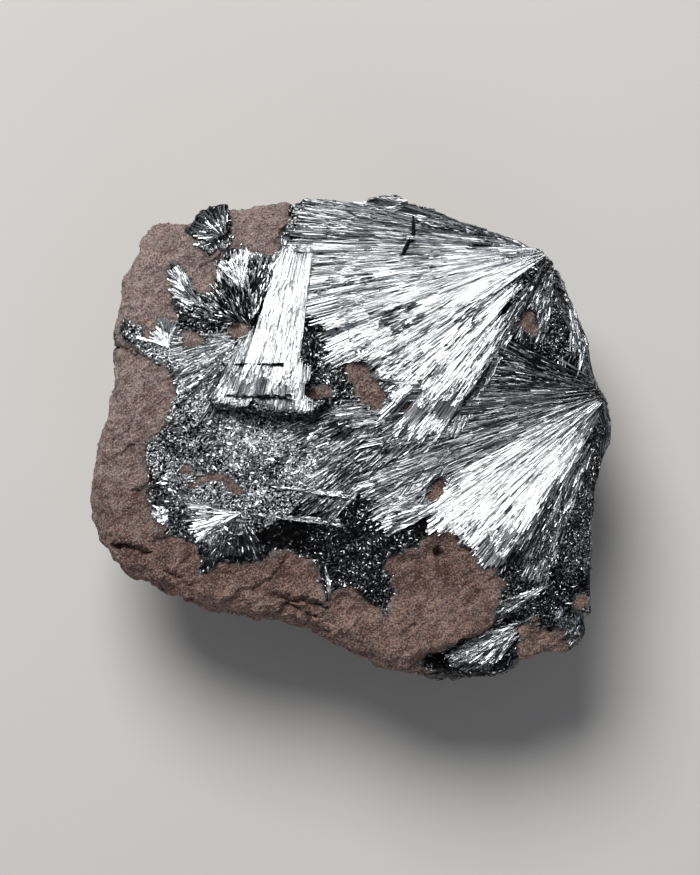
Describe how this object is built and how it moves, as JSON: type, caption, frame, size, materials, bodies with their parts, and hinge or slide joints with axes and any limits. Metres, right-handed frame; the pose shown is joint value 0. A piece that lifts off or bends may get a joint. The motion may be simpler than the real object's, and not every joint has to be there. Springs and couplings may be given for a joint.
{
  "type": "pyrolusite crystal cluster",
  "caption": "Hand specimen of silvery-black pyrolusite in radiating blade sprays on brown host rock, flat underneath so that it rests with its crystal face up.",
  "frame": {"origin": "middle of the bounding box, on the flat face that the specimen rests on", "axes": "+Z out of the crystal face, +X along the longest extent, towards the side where the crystals reach the rim, +Y to the upper edge"},
  "size_m": [0.0734, 0.0692, 0.0295],
  "materials": {
    "host_rock": "matt, fine sandy grain, chocolate brown",
    "pyrolusite": "metallic lustre, steel grey to black, striated along the blades"
  },
  "bodies": {
    "root": {"matrix": "host_rock", "pyrolusite_mass": "pyrolusite", "rosette": "pyrolusite"}
  },
  "joints": []
}
